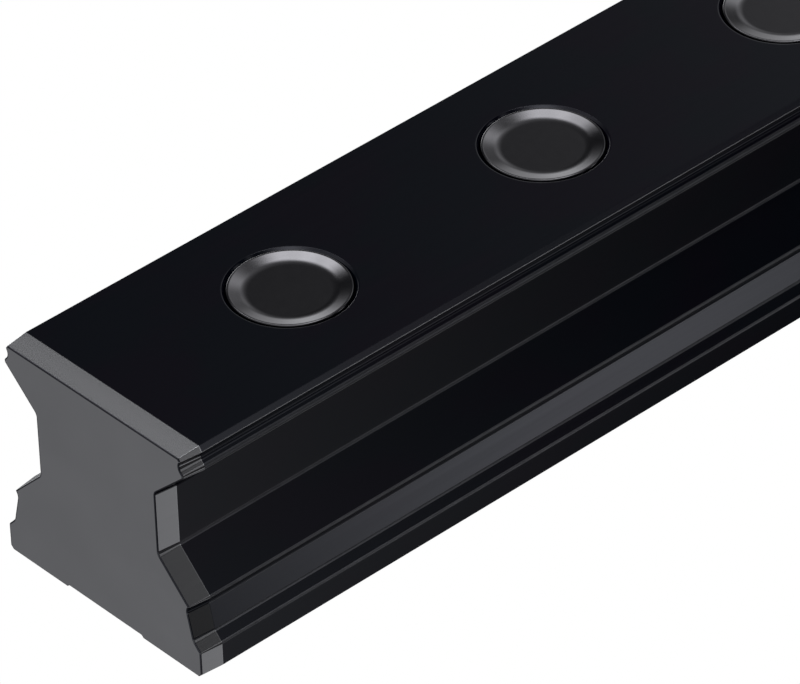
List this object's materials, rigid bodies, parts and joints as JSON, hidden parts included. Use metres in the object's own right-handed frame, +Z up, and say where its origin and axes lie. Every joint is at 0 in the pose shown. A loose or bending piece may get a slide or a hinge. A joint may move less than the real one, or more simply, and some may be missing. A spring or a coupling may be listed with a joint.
{
  "type": "roller guide rail",
  "caption": "Straight roller guide rail, waisted section with 45 degree raceways on both sides, tapered bare ends, black coated, counterbored bolt holes closed by dished plugs.",
  "frame": {"origin": "middle of the underside, at the bottom centre of the box", "axes": "+X along the rail, +Y across it, +Z up out of the plugged face"},
  "size_m": [0.5, 0.034, 0.0308],
  "materials": {
    "rail_steel": "satin",
    "plug_plastic": "gloss"
  },
  "bodies": {
    "root": {"rail": "rail_steel", "plug_01": "plug_plastic", "plug_02": "plug_plastic", "plug_03": "plug_plastic", "plug_04": "plug_plastic", "plug_05": "plug_plastic", "plug_06": "plug_plastic", "plug_07": "plug_plastic", "plug_08": "plug_plastic", "plug_09": "plug_plastic", "plug_10": "plug_plastic", "plug_11": "plug_plastic", "plug_12": "plug_plastic"}
  },
  "joints": []
}
